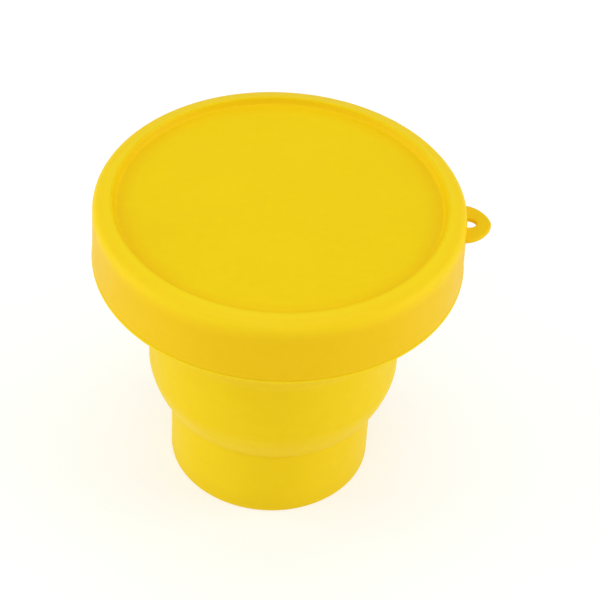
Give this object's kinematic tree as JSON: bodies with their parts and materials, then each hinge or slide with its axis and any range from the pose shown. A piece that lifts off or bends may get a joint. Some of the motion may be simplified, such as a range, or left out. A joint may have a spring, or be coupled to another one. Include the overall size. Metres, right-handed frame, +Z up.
{
  "type": "collapsible travel cup",
  "caption": "Collapsible silicone travel cup with stepped folding tiers, a flush cap lid over its collar and a small hanging loop.",
  "frame": {"origin": "centre of the flat underside of the base, where the cup stands on a surface", "axes": "+Z up along the cup's axis of revolution, from the base to the lid; +X from the axis to the tip of the hanging loop"},
  "size_m": [0.09, 0.085, 0.077],
  "materials": {
    "cup_silicone": "matte moulded silicone with a fine satin bloom",
    "lid_silicone": "matte moulded silicone, smooth flush panel"
  },
  "bodies": {
    "base": {"base_floor": "cup_silicone", "base_wall": "cup_silicone"},
    "middle": {"middle_ring": "cup_silicone", "lower_fold": "cup_silicone"},
    "collar": {"collar_ledge": "cup_silicone", "collar_wall": "cup_silicone", "drinking_lip": "cup_silicone", "upper_fold": "cup_silicone"},
    "lid": {"lid_panel": "lid_silicone", "lid_rim": "lid_silicone", "lid_skirt": "lid_silicone", "lid_seal_lip": "lid_silicone", "hanging_loop": "lid_silicone"}
  },
  "joints": [
    {"name": "lower_collapse", "type": "slide", "parent": "base", "child": "middle", "axis": [0, 0, -1], "range_m": [0, 0.026], "deforming": ["lower_fold"]},
    {"name": "upper_collapse", "type": "slide", "parent": "middle", "child": "collar", "axis": [0, 0, -1], "range_m": [0, 0.0275], "deforming": ["upper_fold"]},
    {"name": "lid_lift", "type": "slide", "parent": "collar", "child": "lid", "axis": [0, 0, 1], "range_m": [0, 0.04]}
  ]
}
